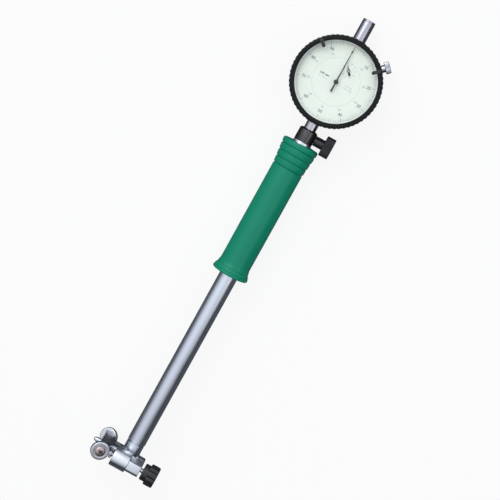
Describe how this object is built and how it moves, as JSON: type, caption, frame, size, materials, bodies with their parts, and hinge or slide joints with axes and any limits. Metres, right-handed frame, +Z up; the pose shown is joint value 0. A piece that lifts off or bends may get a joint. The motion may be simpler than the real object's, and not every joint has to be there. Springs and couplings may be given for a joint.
{
  "type": "dial bore gauge",
  "caption": "Two-point bore gauge: dial indicator on a ringed grip and long tube, with a contact, an anvil and a roller bridge at the head.",
  "frame": {"origin": "bottom centre of the bounding box: the surface the gauge lies on, under its middle", "axes": "+Y from the measuring head to the dial, +Z up out of the dial, +X to the knob's side"},
  "size_m": [0.058, 0.3248, 0.042],
  "materials": {
    "green_plastic": "satin gloss, moulded",
    "black_plastic": "semi-gloss, moulded",
    "black_metal": "black coating",
    "steel": "satin ground",
    "chrome": "satin chrome plating",
    "gunmetal": "dark satin coating",
    "dark_steel": "dark ground",
    "brass": "machined",
    "aluminium": "turned",
    "dial_face": "printed dial",
    "white_ring": "moulded",
    "crystal": "clear",
    "screw_metal": "reddish plated",
    "spring_steel": "drawn wire"
  },
  "bodies": {
    "handle": {"grip": "green_plastic", "tube": "steel", "clamp_collar": "gunmetal", "head_body": "chrome", "anvil": "aluminium", "crank_pin": "steel", "rod_bush": "brass", "spring_seat": "brass", "rod_spring": "spring_steel", "bridge_spring": "spring_steel"},
    "thumb_screw": {"thumb_screw": "black_plastic"},
    "indicator": {"indicator_case": "black_metal", "back_cover": "black_metal", "back_cover_screws": "dark_steel", "stem": "steel", "dust_cap": "chrome", "movement_plate": "brass", "centre_face": "dial_face"},
    "bezel": {"bezel": "black_metal", "crystal": "crystal", "crystal_ring": "white_ring", "scale_ring": "dial_face"},
    "limit_left": {"limit_hand_left": "black_plastic"},
    "limit_right": {"limit_hand_right": "black_plastic"},
    "bezel_screw": {"bezel_clamp_screw": "chrome"},
    "spindle": {"spindle": "steel", "spindle_point": "steel"},
    "rack_arbor": {"rack_arbor": "steel", "movement_wheel": "brass"},
    "centre_arbor": {"centre_arbor": "steel", "main_pointer": "black_metal"},
    "revolution_arbor": {"revolution_arbor": "steel", "revolution_pointer": "black_metal"},
    "contact": {"contact_plunger": "steel", "contact_tip": "chrome"},
    "bell_crank": {"bell_crank": "dark_steel"},
    "push_rod": {"push_rod": "steel"},
    "bridge": {"centring_bridge": "dark_steel", "front_guide_rod": "steel", "rear_guide_rod": "dark_steel", "guide_clip": "spring_steel", "bridge_knob": "black_plastic", "roller_screw_front": "screw_metal", "roller_screw_rear": "screw_metal"},
    "roller_front": {"roller_front": "chrome"},
    "roller_rear": {"roller_rear": "chrome"}
  },
  "joints": [
    {"name": "contact_slide", "type": "slide", "parent": "handle", "child": "contact", "axis": [1, 0, 0], "range_m": [0, 0.0016], "stiffness_N_per_m": 900, "springref_m": -0.0006},
    {"name": "bell_crank_turn", "type": "hinge", "parent": "handle", "child": "bell_crank", "pos_m": [-0.0036, -0.15202, 0.02085], "axis": [0, 0.035, 0.9994], "range_deg": [0, 25.96]},
    {"name": "push_rod_slide", "type": "slide", "parent": "handle", "child": "push_rod", "axis": [0, 0.9994, -0.035], "range_m": [0, 0.00163], "deforming": ["rod_spring"]},
    {"name": "indicator_turn", "type": "hinge", "parent": "handle", "child": "indicator", "pos_m": [0, 0.11961, 0.01135], "axis": [0, 0.9994, -0.035], "continuous": true},
    {"name": "spindle_slide", "type": "slide", "parent": "indicator", "child": "spindle", "axis": [0, 0.9994, -0.035], "range_m": [0, 0.00163]},
    {"name": "rack_arbor_turn", "type": "hinge", "parent": "indicator", "child": "rack_arbor", "pos_m": [-0.00351, 0.1292, 0.01102], "axis": [0, 0.035, 0.9994], "range_deg": [0, 59.6]},
    {"name": "main_pointer_turn", "type": "hinge", "parent": "indicator", "child": "centre_arbor", "pos_m": [0, 0.11961, 0.01135], "axis": [0, 0.035, 0.9994], "range_deg": [-581, 0]},
    {"name": "revolution_pointer_turn", "type": "hinge", "parent": "indicator", "child": "revolution_arbor", "pos_m": [0.00351, 0.1292, 0.01102], "axis": [0, 0.035, 0.9994], "range_deg": [-59.6, 0]},
    {"name": "bezel_turn", "type": "hinge", "parent": "indicator", "child": "bezel", "pos_m": [0, 0.11961, 0.01135], "axis": [0, 0.035, 0.9994], "continuous": true},
    {"name": "limit_left_turn", "type": "hinge", "parent": "bezel", "child": "limit_left", "pos_m": [0, 0.11961, 0.01135], "axis": [0, 0.035, 0.9994], "range_deg": [-40, 124]},
    {"name": "limit_right_turn", "type": "hinge", "parent": "bezel", "child": "limit_right", "pos_m": [0, 0.11961, 0.01135], "axis": [0, 0.035, 0.9994], "range_deg": [-124, 40]},
    {"name": "bezel_screw_turn", "type": "hinge", "parent": "indicator", "child": "bezel_screw", "pos_m": [0, 0.11962, 0.01165], "axis": [0.7193, 0.6942, -0.0243], "range_deg": [-180, 180]},
    {"name": "thumb_screw_turn", "type": "hinge", "parent": "handle", "child": "thumb_screw", "pos_m": [0, 0.08128, 0.01269], "axis": [1, 0, 0], "range_deg": [-270, 90]},
    {"name": "bridge_slide", "type": "slide", "parent": "handle", "child": "bridge", "axis": [1, 0, 0], "range_m": [0, 0.0022], "stiffness_N_per_m": 400, "springref_m": -0.004, "deforming": ["bridge_spring"]},
    {"name": "roller_front_spin", "type": "hinge", "parent": "bridge", "child": "roller_front", "pos_m": [-0.0177, -0.15501, 0.03847], "axis": [0.342, 0.0328, 0.9391], "continuous": true},
    {"name": "roller_rear_spin", "type": "hinge", "parent": "bridge", "child": "roller_rear", "pos_m": [-0.0177, -0.15623, 0.00349], "axis": [0.342, -0.0328, -0.9391], "continuous": true}
  ],
  "couplings": [
    {"joint": "bell_crank_turn", "follows": "contact_slide", "rad_per_m": 277.78},
    {"joint": "push_rod_slide", "follows": "contact_slide", "ratio": 1},
    {"joint": "spindle_slide", "follows": "contact_slide", "ratio": 1},
    {"joint": "rack_arbor_turn", "follows": "contact_slide", "rad_per_m": 628.32},
    {"joint": "main_pointer_turn", "follows": "contact_slide", "rad_per_m": -6283.2},
    {"joint": "revolution_pointer_turn", "follows": "contact_slide", "rad_per_m": -628.32}
  ]
}
